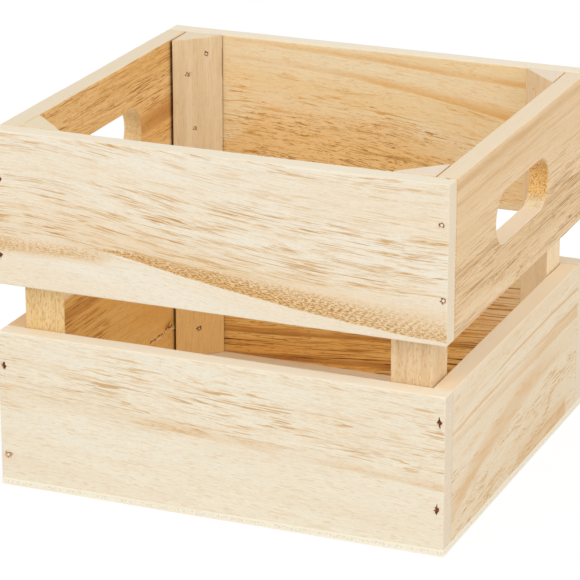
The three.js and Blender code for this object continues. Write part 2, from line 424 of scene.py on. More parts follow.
@dataclass(frozen=True)
class BoardFinish:
    """The grain and colours of one board.

    Attributes:
        pale: The palest wood.
        warm: The warmer wood that drifts through it.
        tint: The wood round clusters of pores.
        ring: The bands of the growth rings.
        pore: The pores' strokes.
        rim: The top and bottom edges.
        end: The end grain.
        flow: How far the grain dips along the board, in millimetres.
        fine: Length in millimetres and strength from 0 to 1 of the fine lines all over.
        sway: How far the grain strays from a smooth run, in millimetres.
        pores: The layers of pores.
        bands: The growth rings that show.
        curl: How strongly the bands curl along the board, from 0 to 1.
        sawn: How strongly pores show on sawn ends, from 0 to 1.
        far: A lighter colour that the pale and the warm wood turn to at the board's high end, painted light
            for that shaded inner corner, where the grain marks also fade.
        outside: The plain colour that the wood turns to at the crate's outer face, where the inner face's
            colours are lifted as painted light for the shaded inside.
        seed: Which part of the noise the board is cut from.
    """

    pale: Colour
    warm: Colour
    tint: Colour
    ring: Colour
    pore: Colour
    rim: Colour
    end: Colour
    flow: Points
    fine: tuple[float, float]
    sway: float
    pores: tuple[Pores, ...]
    bands: tuple[Band, ...]
    seed: float
    curl: Points = even(0.0)
    sawn: float = 0.15
    far: Colour | None = None
    outside: Colour | None = None

    DROP = 80.0
    AROUND = 0.66
    FAR = (135.0, 172.0)
    SAWN_PORE = (160, 84, 20)
    # Partly the sawn floor's pale colour, partly painted light from above on level faces well below the top
    # edge.
    SLOT_FLOOR_LIGHT = (247, 225, 193)
    # Colours of real stain and of painted shade in nail pits and torn places.
    THIN_STAIN_AND_SHADE = (190, 126, 54)
    THICK_STAIN_AND_SHADE = (88, 42, 10)

    def dress(self, name: str, grain: Grain, low: Vector, high: Vector) -> Material:
        """Makes the board's material.

        Args:
            name: The material's name.
            grain: The axis that the board runs along.
            low: The board's lowest corner.
            high: The board's highest corner.

        Returns:
            The material.
        """
        g = Graph(name)
        point = g.parts(g.point())
        across = Grain.Y if grain is Grain.X else Grain.X
        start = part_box("base_panel")[0]
        along = g.math("SUBTRACT", point[grain.value], start[grain.value] / MM)
        below = g.math("SUBTRACT", high.z / MM, point["Z"])
        through = g.math("SUBTRACT", point[across.value], low[across.value] / MM)
        plain = self._place(g, along, below, through)

        drift = g.noise(plain, (80, 22, 22), self.seed)
        ripple = g.noise(plain, (20, 5, 5), self.seed + 1)
        flow = g.curve(along, SPAN, self.flow, self.DROP)
        level = g.math("SUBTRACT", below, flow)
        level = g.math("MULTIPLY_ADD", drift, self.sway, level)
        level = g.math("MULTIPLY_ADD", ripple, self.sway * 0.2, level)
        wood = self._place(g, along, level, through)

        patches = g.ramp(g.noise(wood, (36, 5, 5), self.seed + 10, 2.0), 0.34, 0.6, 0.2, 1.0)
        strokes, tints, busy = self._strokes(g, wood, along, below, patches)
        rings, dots = self._rings(g, along, below, wood, ripple, patches)
        tone = g.ramp(g.noise(wood, (130, 14, 14), self.seed + 2, 3.0), 0.35, 0.68)
        fibre = g.noise(wood, (self.fine[0], 0.62, 0.62), self.seed + 3, 2.0, 0.6)
        speck = g.noise(wood, (1.8, 0.5, 0.5), self.seed + 4, 2.0, 0.6)
        flecks = g.noise(wood, (4.5, 0.6, 0.6), self.seed + 11, 1.0)
        veins = g.noise(wood, (self.fine[0] * 3, 2.0, 2.0), self.seed + 12, 1.0)
        veins = g.ramp(g.math("ABSOLUTE", g.math("SUBTRACT", veins, 0.5)), 0.048, 0.026)
        broken = g.ramp(g.noise(wood, (self.fine[0], 0.6, 0.6), self.seed + 13, 1.0), 0.46, 0.54)
        fine = g.product(veins, broken, patches, busy, self.fine[1] * 2.8)
        fine = g.math("MAXIMUM", fine, g.ramp(flecks, 0.58, 0.66, 0.0, self.fine[1] * 1.2))

        colour = g.mix(tone, self.pale, self.warm)
        colour = g.mix(tints, colour, self.tint)
        colour = g.mix(rings, colour, self.ring)
        marks = g.math("MAXIMUM", g.math("MAXIMUM", strokes, fine), dots)
        # Painted light: towards the high end, a shaded inner corner, the wood turns lighter and its marks
        # fainter.
        if self.far:
            colour = g.mix(g.ramp(along, *self.FAR, 0.0, 0.85), colour, self.far)
            marks = g.math("MULTIPLY", marks, g.ramp(along, *self.FAR, 1.0, 0.5))
        # Painted light: the inner face keeps colours lifted for the shaded inside of the crate, and the
        # outer face turns to its plain colour.
        if self.outside:
            depth = (high - low)[across.value] / MM
            face = depth if high[across.value] > 0 else 0.0
            colour = g.mix(g.ramp(through, depth / 2, face, 0.0, 0.8), colour, self.outside)
            marks = g.math("MULTIPLY", marks, g.ramp(through, depth / 2, face, 1.0, 0.6))
        colour = g.mix(g.ramp(marks, 0.0, 0.5), colour, self.tint)
        colour = g.mix(g.ramp(marks, 0.12, 1.0), colour, self.pore)
        shade = g.math("ADD", g.ramp(fibre, 0.25, 0.6, 0.035, 0.0), g.ramp(speck, 0.3, 0.7, 0.93, 1.0))
        colour = g.mix(1.0, colour, self._grey(g, shade), "MULTIPLY")
        colour = self._cut_faces(g, colour, grain, plain, below)
        colour = g.apply_stain_and_shade(colour, self.THIN_STAIN_AND_SHADE, self.THICK_STAIN_AND_SHADE)
        bare = g.ramp(g.attribute("stain_and_shade"), 0.0, -1.0)
        colour = g.mix(bare, colour, self.rim)
        rough = g.math("MULTIPLY_ADD", speck, 0.14, g.math("MULTIPLY_ADD", strokes, 0.18, 0.56))
        relief = g.math("MULTIPLY_ADD", speck, 0.5, g.math("MULTIPLY_ADD", strokes, -0.8, fibre))
        return g.coat(colour, rough, relief, 0.05 * MM)

    @staticmethod
    def _place(g: Graph, along: Socket, below: Socket, through: Socket) -> Socket:
        """Joins the three measures of a point in the wood.

        Args:
            g: The material's graph.
            along: Millimetres along the board.
            below: Millimetres below its top edge, or below a line of its grain.
            through: Millimetres through its thickness.

        Returns:
            The point's socket.
        """
        made = g.node("ShaderNodeCombineXYZ")
        for socket, value in zip(made.inputs, (along, below, through)):
            g.feed(socket, value)
        return made.outputs[0]

    @staticmethod
    def _grey(g: Graph, level: Socket) -> Socket:
        """Makes a grey colour of a level.

        Args:
            g: The material's graph.
            level: The level, from 0 to 1.

        Returns:
            The colour's socket.
        """
        made = g.node("ShaderNodeCombineColor")
        for socket in made.inputs:
            g.feed(socket, level)
        return made.outputs[0]

    def _strokes(self, g: Graph, wood: Socket, along: Socket, below: Socket,
                 patches: Socket) -> tuple[Socket, Socket, Socket]:
        """Adds the pores' strokes and the tint round them.

        Args:
            g: The material's graph.
            wood: The point in the flowing grain.
            along: Millimetres along the board.
            below: Millimetres below its top edge.
            patches: How busy the grain is, from 0 to 1.

        Returns:
            How much of the pores' colour shows, how much of the tint, and how many pores there are.
        """
        strokes: Value = 0.0
        tints: Value = 0.0
        most: Value = 0.0
        for i, p in enumerate(self.pores):
            seed = self.seed + 5 + 2.37 * i
            lines = g.noise(wood, (p.stroke[0], p.stroke[1], p.stroke[1]), seed, 1.0)
            gaps = g.noise(wood, (p.stroke[0] * 0.3, p.stroke[1], p.stroke[1]), seed + 2, 1.0)
            lines = g.product(g.ramp(lines, 0.555, 0.61), g.ramp(gaps, 0.4, 0.54, 0.25, 1.0))
            lumps = g.noise(wood, (p.cluster[0], p.cluster[1], p.cluster[1]), seed + 1, 1.0)
            there = g.curve(below, self.DROP, p.down, 1.0)
            there = g.product(there, g.curve(along, SPAN, p.along, 1.0))
            lens = g.ramp(lumps, p.share, p.share + 0.06)
            round_it = g.ramp(lumps, p.share - 0.2, p.share, 0.0, self.AROUND)
            thick = g.product(g.math("MAXIMUM", lens, round_it), there, p.strength)
            busy = g.math("MULTIPLY_ADD", patches, 0.5, 0.5)
            strokes = g.math("MAXIMUM", strokes, g.product(lines, thick, busy))
            tints = g.math("MAXIMUM", tints, g.product(lens, there, p.tint))
            most = g.math("MAXIMUM", most, there)
        return strokes, tints, most

    def _rings(self, g: Graph, along: Socket, below: Socket, wood: Socket, ripple: Socket,
               patches: Socket) -> tuple[Socket, Socket]:
        """Adds the growth rings' bands, with fine dots in them.

        Args:
            g: The material's graph.
            along: Millimetres along the board.
            below: Millimetres below its top edge.
            wood: The point in the flowing grain.
            ripple: Noise that makes the edges waver.
            patches: How busy the grain is, from 0 to 1.

        Returns:
            How much of the rings' colour shows, and how much of the dots'.
        """
        grains = g.noise(wood, (1.6, 0.44, 0.44), self.seed + 7, 2.0, 0.6)
        slant = g.math("MULTIPLY_ADD", below, 1.2, along)
        waves = g.math("SINE", g.math("MULTIPLY_ADD", ripple, 9.0, g.math("MULTIPLY", slant, 1.7)))
        curl = g.math("MULTIPLY", waves, g.curve(along, SPAN, self.curl, 1.0))
        grains = g.math("MULTIPLY_ADD", curl, 0.04, grains)
        speckle = g.ramp(grains, 0.45, 0.57)
        total: Value = 0.0
        dots: Value = 0.0
        for band in self.bands:
            edge = g.curve(along, SPAN, band.edge, self.DROP)
            apart = g.math("SUBTRACT", below, edge)
            apart = g.math("ADD", apart, g.math("MULTIPLY_ADD", ripple, 1.6, -0.8))
            fade = g.curve(along, SPAN, band.fade, self.DROP)
            rise = g.ramp(apart, g.math("MULTIPLY", fade, -1.0), 0.0)
            end = g.ramp(apart, 0.0, band.sharp, 1.0, 0.0)
            strength = g.curve(along, SPAN, band.strength, 1.0)
            worn = g.math("MULTIPLY_ADD", patches, band.patchy, 1.0 - band.patchy)
            share = g.product(rise, end, strength, worn)
            total = g.math("MAXIMUM", total, share)
            dots = g.math("MAXIMUM", dots, g.product(g.ramp(share, 0.0, 0.75), speckle, band.stipple))
        return total, dots

    def _cut_faces(self, g: Graph, colour: Socket, grain: Grain, plain: Socket, below: Socket) -> Socket:
        """Turns the colour to that of sawn edges and of end grain, by the way that a surface faces.

        Args:
            g: The material's graph.
            colour: The colour along the grain.
            grain: The axis that the board runs along.
            plain: The point in the board.
            below: Millimetres below the board's top edge.

        Returns:
            The colour's socket.
        """
        lines = g.noise(plain, (26, 0.5, 0.5), self.seed + 8, 2.0)
        rims = g.mix(g.ramp(lines, 0.5, 0.72, 0.0, 0.25), self.rim, self.tint)
        # Painted light: faces that point up or down well below the top edge, such as the hand slot's floor,
        # turn pale as if lit from above.
        rims = g.mix(g.ramp(below, 8.0, 16.0, 0.0, 0.9), rims, self.SLOT_FLOOR_LIGHT)
        colour = g.mix(g.ramp(g.facing(Grain.Z), 0.5, 0.85), colour, rims)
        dots = g.ramp(g.noise(plain, (24, 0.66, 0.66), self.seed + 9, 3.0, 0.7), 0.44, 0.66, 0.0, self.sawn)
        ends = g.mix(dots, self.end, self.SAWN_PORE)
        return g.mix(g.ramp(g.facing(grain), 0.55, 0.85), colour, ends)


RING_EDGE = ((0, 46), (53, 46.5), (88.6, 52.4), (128.6, 58.4), (171, 62.9), (200, 65))
CREAM_UPPER = BoardFinish(
    pale=(243, 233, 213), warm=(242, 227, 201), tint=(228, 191, 138), ring=(231, 186, 120),
    pore=(186, 132, 56), rim=(239, 227, 203), end=(235, 219, 191), seed=3.0, fine=(14, 0.14), sway=4.0,
    flow=((0, 0), (25, 1), (60, 5.5), (100, 11), (140, 15), (200, 17)),
    pores=(
        Pores(stroke=(24, 0.46), cluster=(15, 2.0), share=0.59, strength=0.8, tint=0.35,
              down=((0, 0.9), (6, 0.7), (12, 0.4), (22, 0.8), (44, 1.0), (51, 0.35), (58, 0.1), (67, 0.0)),
              along=((0, 1.0), (60, 1.0), (110, 1.0), (200, 0.9))),
        Pores(stroke=(30, 0.44), cluster=(46, 7.0), share=0.5, strength=0.68, tint=0.0,
              down=((0, 0.6), (14, 0.6), (22, 0.9), (44, 1.0), (51, 0.4), (58, 0.15), (67, 0.05)),
              along=((0, 1.0), (60, 1.0), (110, 1.0), (200, 0.9))),
    ),
    bands=(
        Band(edge=((0, 50), (60, 49), (200, 49)),
             strength=((0, 0.6), (40, 0.5), (52, 0.3), (60, 0), (200, 0)), fade=((0, 10), (200, 8)),
             sharp=5.0, stipple=0.6, patchy=0.2),
        Band(edge=RING_EDGE,
             strength=((0, 0), (44, 0), (50, 0.5), (58, 0.95), (110, 1.0), (140, 0.85), (170, 0.6),
                       (200, 0.54)),
             fade=((0, 1), (50, 2), (66, 5), (90, 8), (137, 13), (200, 17)), sharp=0.9, stipple=0.95,
             patchy=0.2),
        Band(edge=RING_EDGE, strength=((0, 0.3), (60, 0.4), (110, 0.5), (200, 0.45)),
             fade=((0, 18), (200, 26)), sharp=0.9, stipple=0.0, patchy=0.4),
    ),
    curl=((0, 0), (120, 0.2), (150, 0.8), (200, 0.8)),
)

CREAM_LOWER = BoardFinish(
    pale=(243, 233, 211), warm=(241, 227, 201), tint=(234, 202, 156), ring=(230, 194, 146),
    # rim: paler than the face, painted light that offsets the upper board's shade on this top edge.
    pore=(186, 134, 70), rim=(248, 236, 212), end=(234, 217, 192), seed=11.0, fine=(14, 0.19), sway=4.0,
    flow=((0, 0), (67, 4), (121, 8), (200, 13)),
    pores=(
        Pores(stroke=(24, 0.38), cluster=(50, 5.0), share=0.52, strength=0.54, tint=0.0,
              down=((0, 0.35), (7, 0.6), (13, 1.0), (30, 1.0), (37, 0.3), (50, 0.2), (66, 0.4))),
        Pores(stroke=(15, 0.38), cluster=(14, 1.8), share=0.6, strength=0.54, tint=0.25,
              down=((0, 0.3), (10, 0.8), (30, 0.9), (36, 0.3), (50, 0.25), (66, 0.5))),
    ),
    bands=(
        Band(edge=((0, 28.5), (67, 31.5), (121, 35), (200, 40)),
             strength=((0, 0.3), (50, 0.3), (70, 0.6), (120, 0.55), (140, 0.3), (160, 0.45), (200, 0.5)),
             fade=((0, 5), (200, 6)), sharp=1.4, stipple=0.5, patchy=0.85),
    ),
)

TAN_UPPER = BoardFinish(
    pale=(239, 210, 168), warm=(231, 198, 152), tint=(224, 184, 132), ring=(211, 167, 112),
    pore=(166, 116, 62), rim=(237, 217, 186), end=(249, 205, 131), seed=21.0, fine=(30, 0.2), sway=2.0,
    flow=even(0),
    pores=(
        Pores(stroke=(60, 0.42), cluster=(140, 4.0), share=0.46, strength=0.95, tint=0.2,
              down=((0, 0.5), (12, 0.4), (30, 0.6), (41, 1.0), (60, 0.9), (67, 0.6))),
        Pores(stroke=(11, 0.42), cluster=(40, 3.0), share=0.48, strength=0.74, tint=0.25,
              down=((0, 0.2), (30, 0.35), (43, 1.0), (67, 0.9))),
    ),
    bands=(
        Band(edge=even(4), strength=even(0.9), fade=even(4), sharp=3.0, stipple=0.3),
        Band(edge=((0, 11.4), (200, 11)), strength=even(0.6), fade=even(2), sharp=1.0, stipple=0.3),
        Band(edge=((0, 42.5), (60, 42), (120, 44.5), (200, 47.5)), strength=even(0.9),
             fade=((0, 2.5), (200, 3)), sharp=1.2, stipple=0.4),
    ),
    sawn=0.75,
)

CREAM_SIDE = BoardFinish(
    pale=(240, 224, 197), warm=(237, 217, 185), tint=(235, 200, 150), ring=(223, 178, 121),
    pore=(182, 132, 72), rim=(244, 223, 191), end=(236, 222, 198), seed=31.0, fine=(12, 0.16), sway=3.0,
    flow=((0, 6), (200, 0)),
    pores=(
        Pores(stroke=(16, 0.5), cluster=(40, 3.0), share=0.54, strength=0.6, tint=0.15,
              down=((0, 0.4), (10, 0.7), (24, 0.7), (32, 0.3), (66, 0.3))),
        Pores(stroke=(7, 0.46), cluster=(26, 5.0), share=0.55, strength=0.7, tint=0.3,
              down=((0, 0.1), (26, 0.3), (34, 1.0), (66, 1.0))),
    ),
    bands=(
        Band(edge=((0, 12), (60, 11.5), (75, 11), (200, 11)),
             strength=((0, 0.1), (60, 0.3), (75, 0.9), (200, 1.0)), fade=((0, 1.2), (200, 1.5)), sharp=0.7,
             stipple=0.3, patchy=0.2),
        Band(edge=((0, 20), (60, 18), (130, 18.5), (200, 19)),
             strength=((0, 0.8), (60, 0.7), (90, 0.3), (130, 0.7), (200, 1.0)), fade=((0, 1.6), (200, 2.5)),
             sharp=1.0, stipple=0.3, patchy=0.3),
        Band(edge=((0, 25), (90, 23.5), (200, 23.5)),
             strength=((0, 0.3), (60, 0.4), (100, 0.6), (200, 0.75)), fade=((0, 4), (200, 10)), sharp=0.8,
             stipple=0.2, patchy=0.3),
        Band(edge=((0, 60), (12, 54), (40, 45), (67, 40), (103, 35), (133, 33), (200, 30)),
             strength=((0, 0.2), (10, 0.7), (60, 0.95), (100, 0.8), (130, 0.5), (160, 0.2), (200, 0)),
             fade=even(11), sharp=5.0, stipple=0.25, patchy=0.6),
        Band(edge=((0, 66), (93, 66), (158, 65), (200, 66)),
             strength=((0, 0), (88, 0), (98, 0.7), (120, 0.6), (140, 0.95), (157, 0.95), (163, 0.1),
                       (200, 0)),
             fade=even(12), sharp=3.0, stipple=0.25, patchy=0.6),
    ),
)

# Inner-face colours lifted as painted light for the shaded inside; outside is the plain colour.
HONEY_UPPER = BoardFinish(
    pale=(251, 234, 197), warm=(249, 224, 175), tint=(248, 201, 123), ring=(236, 186, 113),
    outside=(242, 226, 198),
    pore=(166, 104, 40), rim=(240, 228, 206), end=(236, 218, 188), seed=41.0, fine=(16, 0.2), sway=5.0,
    flow=((0, 0), (60, 3), (120, 9), (200, 20)),
    pores=(
        Pores(stroke=(7, 0.4), cluster=(70, 30.0), share=0.3, strength=0.84, tint=0.66,
              down=((0, 0.0), (18, 0.0), (27, 0.15), (36, 0.75), (50, 1.0), (67, 1.0)),
              # Fewer tinted patches towards the high end: painted light for the shaded inner corner there.
              along=((0, 0.9), (110, 1.0), (135, 0.5), (155, 0.1), (200, 0.0))),
        Pores(stroke=(7, 0.42), cluster=(12, 1.8), share=0.58, strength=0.9, tint=0.2,
              down=((0, 0.1), (14, 0.42), (22, 0.72), (30, 0.9), (67, 1.0)),
              along=((0, 1.0), (140, 0.8), (200, 0.5))),
    ),
    bands=(
        Band(edge=((0, 1), (56, 2.4), (95, 3.9), (130, 6.4), (152, 7.9), (200, 10)),
             strength=((0, 0.2), (60, 0.4), (120, 0.7), (200, 0.9)), fade=((0, 2), (200, 4)), sharp=1.5,
             stipple=0.3),
        Band(edge=((0, 8.4), (29, 9.6), (66, 11.7), (95, 13.9), (130, 18.9), (163, 24.6), (200, 33)),
             strength=((0, 0.3), (60, 0.4), (120, 0.8), (200, 0.9)), fade=((0, 2.5), (120, 5), (200, 7)),
             sharp=1.0, stipple=0.3),
    ),
)

# Inner-face colours lifted as painted light for the shaded inside; outside is the plain colour.
HONEY_LOWER = BoardFinish(
    pale=(255, 220, 144), warm=(252, 202, 116), tint=(238, 172, 82), ring=(170, 92, 24),
    outside=(242, 223, 190),
    pore=(98, 42, 2), rim=(238, 222, 196), end=(238, 222, 198), seed=51.0, fine=(40, 0.3), sway=3.0,
    flow=((0, 14), (200, 0)),
    pores=(
        Pores(stroke=(90, 0.7), cluster=(120, 3.0), share=0.5, strength=1.0, tint=0.3,
              down=((0, 1.0), (66, 1.0))),
        Pores(stroke=(36, 0.5), cluster=(40, 3.0), share=0.5, strength=0.85, tint=0.2,
              down=((0, 1.0), (66, 1.0))),
    ),
    bands=(
        Band(edge=((0, 57), (28, 55), (110, 49.3), (200, 43)), strength=even(0.9), fade=even(3), sharp=1.2),
        Band(edge=((0, 68), (28, 67), (70, 64.5), (110, 61.7), (200, 55)), strength=even(1.0), fade=even(3),
             sharp=1.2),
    ),
    # Painted light for the shaded back right corner inside the crate.
    far=(255, 236, 200),
)

# Inner-face colours lifted as painted light for the shaded inside; outside is the plain colour.
AMBER_UPPER = BoardFinish(
    pale=(247, 209, 146), warm=(240, 194, 121), tint=(227, 170, 95), ring=(198, 132, 58),
    outside=(239, 215, 176),
    pore=(152, 88, 22), rim=(233, 217, 189), end=(240, 206, 148), seed=61.0, fine=(24, 0.24), sway=2.5,
    flow=((0, 0), (200, 2)),
    pores=(
        Pores(stroke=(18, 0.5), cluster=(70, 3.0), share=0.5, strength=0.7, tint=0.25,
              down=((0, 0.9), (67, 0.9))),
        Pores(stroke=(8, 0.46), cluster=(18, 2.4), share=0.54, strength=0.65, tint=0.3,
              down=((0, 0.9), (67, 0.9))),
    ),
    bands=(
        Band(edge=((0, 34), (140, 35), (200, 31)), strength=((0, 0.2), (120, 0.6), (145, 1.0), (200, 1.0)),
             fade=((0, 12), (200, 13)), sharp=3.0),
    ),
    sawn=0.4,
)

# Inner-face colours lifted as painted light for the shaded inside; outside is the plain colour.
AMBER_LOWER = BoardFinish(
    pale=(248, 208, 132), warm=(242, 192, 109), tint=(230, 168, 86), ring=(200, 132, 58),
    outside=(240, 219, 184),
    pore=(146, 80, 18), rim=(234, 198, 150), end=(226, 198, 158), seed=71.0, fine=(24, 0.2), sway=2.5,
    flow=((0, 0), (200, 4)),
    pores=(
        Pores(stroke=(40, 0.56), cluster=(30, 3.0), share=0.46, strength=0.85, tint=0.3,
              down=((0, 0.9), (66, 0.9)), along=((0, 1.0), (70, 1.0), (110, 0.4), (200, 0.3))),
    ),
    bands=(
        Band(edge=((0, 8), (200, 12)), strength=((0, 0.8), (80, 0.6), (200, 0.2)), fade=even(6), sharp=3.0),
    ),
)


@dataclass(frozen=True)
class PostFinish:
    """The straight-grained wood of the corner posts.

    Attributes:
        pale: The palest wood.
        warm: The warmer streaks.
        pore: The fine dark pores.
        end: The end grain on top.
        foot: The colour below the middle, painted light and shade for the post's lower part down in the
            crate: deeper on the front posts, more orange on the back left post and lighter on the back
            right one.
        flecked: How strongly the pores show, from 0 to 1.
        seed: Which part of the noise the post is cut from.
    """

    pale: Colour
    warm: Colour
    pore: Colour
    end: Colour
    foot: Colour
    flecked: float
    seed: float

    MIDDLE = 95.0
    BELOW = 55.0
    # Colours of real stain and of painted shade in brad pits and along the open joint.
    THIN_STAIN_AND_SHADE = (190, 116, 46)
    THICK_STAIN_AND_SHADE = (98, 28, 2)

    def dress(self, name: str) -> Material:
        """Makes the post's material.

        Args:
            name: The material's name.

        Returns:
            The material.
        """
        g = Graph(name)
        wood = g.point()
        streak = g.noise(wood, (4, 4, 110), self.seed, 3.0)
        fibre = g.noise(wood, (0.55, 0.55, 12), self.seed + 1, 2.0)
        speck = g.noise(wood, (0.8, 0.8, 1.6), self.seed + 4, 1.0)
        flecks = g.ramp(g.noise(wood, (0.65, 0.65, 2.6), self.seed + 2, 1.0), 0.57, 0.66)
        colour = g.mix(g.ramp(streak, 0.35, 0.65), self.pale, self.warm)
        # Painted light and shade below the middle of the post.
        painted_foot_share = g.ramp(g.parts(wood)["Z"], self.MIDDLE, self.BELOW, 0.0, 0.9)
        colour = g.mix(painted_foot_share, colour, self.foot)
        colour = g.mix(g.math("MULTIPLY", flecks, self.flecked), colour, self.pore)
        colour = g.mix(g.ramp(speck, 0.5, 0.7, 0.0, 0.4 * self.flecked), colour, self.pore)
        colour = g.mix(g.ramp(fibre, 0.5, 0.7, 0.0, 0.22), colour, self.pore)
        dots = g.ramp(g.noise(wood, (0.6, 0.6, 30), self.seed + 3, 2.0), 0.55, 0.75, 0.0, 0.4)
        ends = g.mix(dots, self.end, self.warm)
        colour = g.mix(g.ramp(g.facing(Grain.Z), 0.55, 0.85), colour, ends)
        colour = g.apply_stain_and_shade(colour, self.THIN_STAIN_AND_SHADE, self.THICK_STAIN_AND_SHADE)
        rough = g.math("MULTIPLY_ADD", fibre, 0.2, 0.55)
        return g.coat(colour, rough, g.math("MULTIPLY_ADD", flecks, -0.8, fibre), 0.08 * MM)


YELLOW_POST = PostFinish(pale=(243, 213, 157), warm=(233, 197, 135), pore=(176, 118, 50),
                         end=(234, 216, 183), foot=(238, 204, 146), flecked=0.36, seed=81.0)
TAN_POST = PostFinish(pale=(237, 208, 166), warm=(226, 193, 147), pore=(172, 124, 70), end=(236, 218, 194),
                      foot=(232, 200, 156), flecked=0.3, seed=84.0)
BROWN_POST = PostFinish(pale=(243, 221, 184), warm=(235, 210, 169), pore=(190, 148, 100),
                        end=(234, 214, 186), foot=(255, 215, 144), flecked=0.08, seed=87.0)
BEIGE_POST = PostFinish(pale=(246, 222, 184), warm=(238, 210, 169), pore=(184, 140, 92),
                        end=(236, 218, 194), foot=(255, 236, 202), flecked=0.1, seed=88.0)
TORN_SLIVER = PostFinish(pale=(255, 226, 168), warm=(250, 212, 144), pore=(160, 104, 48),
                         end=(252, 220, 160), foot=(255, 224, 164), flecked=0.3, seed=93.0)
# Near-white: partly the pale fibres, partly painted light that offsets the shade at the slot's end.
PALE_SLIVER = PostFinish(pale=(255, 252, 220), warm=(255, 246, 204), pore=(214, 160, 84),
                         end=(255, 250, 216), foot=(255, 250, 214), flecked=0.2, seed=90.0)


@dataclass(frozen=True)
class PlywoodFinish:
    """Thin plywood: a pale face, and edges where the plies show.

    Attributes:
        face: The face veneer.
        streak: The veneer's darker grain.
        core: The middle ply's end grain.
        glue: The thin glue lines.
    """

    face: Colour = (252, 242, 217)
    streak: Colour = (247, 229, 198)
    core: Colour = (246, 241, 228)
    glue: Colour = (220, 205, 172)

    def dress(self, name: str, thickness: float) -> Material:
        """Makes the panel's material.

        Args:
            name: The material's name.
            thickness: The panel's thickness in metres.

        Returns:
            The material.
        """
        g = Graph(name)
        wood = g.point()
        grain = g.noise(wood, (40, 1.2, 1.2), 91.0, 3.0)
        fibre = g.noise(wood, (9, 0.4, 0.4), 92.0, 2.0)
        dots = g.noise(wood, (0.8, 0.8, 0.6), 93.0, 2.0)
        colour = g.mix(g.ramp(grain, 0.42, 0.66, 0.0, 0.6), self.face, self.streak)
        middle = g.math("ABSOLUTE", g.math("SUBTRACT", g.parts(wood)["Z"], thickness / MM / 2))
        edge = g.ramp(g.facing(Grain.Z), 0.85, 0.5)
        core = g.mix(g.ramp(dots, 0.5, 0.62, 0.0, 0.7), self.core, self.glue)
        core_share = g.math("MULTIPLY", g.ramp(middle, 0.72, 0.6), edge)
        colour = g.mix(core_share, colour, core)
        line = g.math("ABSOLUTE", g.math("SUBTRACT", middle, 0.68))
        colour = g.mix(g.product(g.ramp(line, 0.14, 0.04), edge, 0.2), colour, self.glue)
        relief = g.math("ADD", fibre, g.math("MULTIPLY", dots, edge))
        return g.coat(colour, g.math("MULTIPLY_ADD", fibre, 0.2, 0.58), relief, 0.07 * MM)


@dataclass(frozen=True)
class SteelFinish:
    """Nail steel with spots of rust, and a dark rim round the head's edge, partly dirt and partly painted
    shade where the head meets its pit.

    Attributes:
        name: The material's name.
        bright: The clean metal.
        rust: The rusted metal.
        rusted: Noise level above which rust begins.
        seed: Which part of the noise is used.
    """

    name: str
    bright: Colour
    rust: Colour
    rusted: float
    seed: float

    def material(self) -> Material:
        """Makes the nails' material, or finds it if another nail has it."""
        return bpy.data.materials.get(self.name) or self.dress()

    def dress(self) -> Material:
        """Makes the nails' material.

        Returns:
            The material.
        """
        g = Graph(self.name)
        point = g.point()
        spots = g.noise(point, (0.7, 0.7, 0.7), self.seed, 3.0)
        spots = g.ramp(spots, self.rusted - 0.08, self.rusted + 0.08)
        rust_dirt_and_shade = g.math("MAXIMUM", spots, g.attribute("stain_and_shade"))
        g.feed(g.shader.inputs["Metallic"], g.math("MULTIPLY_ADD", rust_dirt_and_shade, -0.25, 0.3))
        relief = g.noise(point, (0.3, 0.3, 0.3), self.seed + 1, 2.0)
        rough = g.math("MULTIPLY_ADD", rust_dirt_and_shade, 0.4, 0.34)
        return g.coat(g.mix(rust_dirt_and_shade, self.bright, self.rust), rough, relief, 0.04 * MM)


FILLED_STEEL = SteelFinish("filled_steel", bright=(232, 198, 152), rust=(184, 140, 92), rusted=0.7,
                           seed=113.0)
# Near-white and barely metallic: partly pale clean steel, partly a painted highlight for the heads' glint.
PALE_GLINT_STEEL = SteelFinish("pale_glint_steel", bright=(252, 242, 218), rust=(112, 68, 34), rusted=0.66,
                           seed=101.0)
RUSTED_STEEL = SteelFinish("rusted_steel", bright=(158, 74, 36), rust=(96, 40, 16), rusted=0.5, seed=107.0)


@dataclass(frozen=True)
class Tear:
    """How a nail tore the wood round its head.

    Attributes:
        reach: The pit's radius as a share of the head's.
        depth: The pit's depth in metres.
        ragged: How uneven its rim is, from 0 to 1.
        stain_and_shade: How dark it is, from 0 to 1, partly real stain and partly painted shade in the pit.
        crack: How far a crack through it is drawn out, or 0 for none.
    """

    reach: float
    depth: float
    ragged: float
    stain_and_shade: float
    crack: float = 0.0


CLEAN_TEAR = Tear(reach=1.3, depth=0.62 * MM, ragged=0.75, stain_and_shade=1.0)
RUSTY_TEAR = Tear(reach=1.2, depth=0.7 * MM, ragged=1.0, stain_and_shade=1.0, crack=4.2)
FAINT_TEAR = Tear(reach=1.6, depth=0.4 * MM, ragged=1.0, stain_and_shade=0.45, crack=3.4)
FILLED_TEAR = Tear(reach=1.1, depth=0.3 * MM, ragged=0.6, stain_and_shade=0.15)
BRAD_TEAR = Tear(reach=1.4, depth=0.8 * MM, ragged=0.8, stain_and_shade=0.9)


